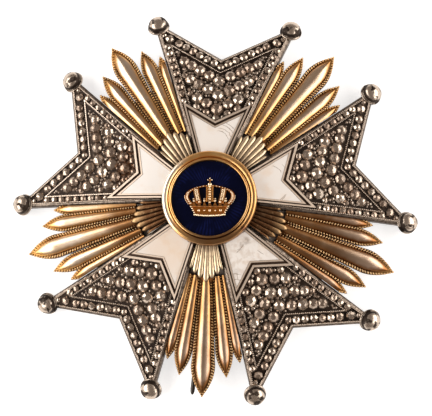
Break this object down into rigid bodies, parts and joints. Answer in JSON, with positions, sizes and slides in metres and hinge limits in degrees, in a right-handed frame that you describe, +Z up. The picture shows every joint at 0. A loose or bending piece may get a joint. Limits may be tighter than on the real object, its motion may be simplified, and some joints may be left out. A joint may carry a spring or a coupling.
{
  "type": "breast star of an order",
  "caption": "Swallow-tailed breast star of oxidised silver with gilt rays, a white enamelled cross, a blue medallion with a crown, and a brooch pin behind.",
  "frame": {"origin": "on the floor plane under the middle of the medallion, the star lying face up on its tip studs", "axes": "+Z up, out of the star's face; +Y towards its top arm; +X to the right of it"},
  "size_m": [0.0882, 0.0838, 0.014],
  "materials": {
    "silver": "cast silver, cut and darkened with age",
    "gilt": "fire-gilt, bright on the crowns and brown in the grooves",
    "pale_gilt": "worn pale gilt",
    "frame_silver": "burnished silver, dark in its groove",
    "white_enamel": "glossy opaque enamel with hairline cracks",
    "blue_enamel": "glossy translucent enamel over turned lines",
    "gold": "gilt, burnished",
    "back_silver": "plain silver sheet, rubbed",
    "steel": "drawn wire"
  },
  "bodies": {
    "root": {"arm_1": "silver", "arm_2": "silver", "arm_3": "silver", "arm_4": "silver", "arm_5": "silver", "ray_bundle_1": "gilt", "ray_bundle_2": "gilt", "ray_bundle_3": "gilt", "ray_bundle_4": "gilt", "ray_bundle_5": "gilt", "ray_fan_1": "pale_gilt", "ray_fan_2": "pale_gilt", "ray_fan_3": "pale_gilt", "ray_fan_4": "pale_gilt", "ray_fan_5": "pale_gilt", "cross_frame": "frame_silver", "white_enamel_1": "white_enamel", "white_enamel_2": "white_enamel", "white_enamel_3": "white_enamel", "white_enamel_4": "white_enamel", "white_enamel_5": "white_enamel", "medallion_ring": "gold", "medallion_enamel": "blue_enamel", "crown": "gold", "back_plate": "back_silver", "brooch_pin": "steel"}
  },
  "joints": []
}
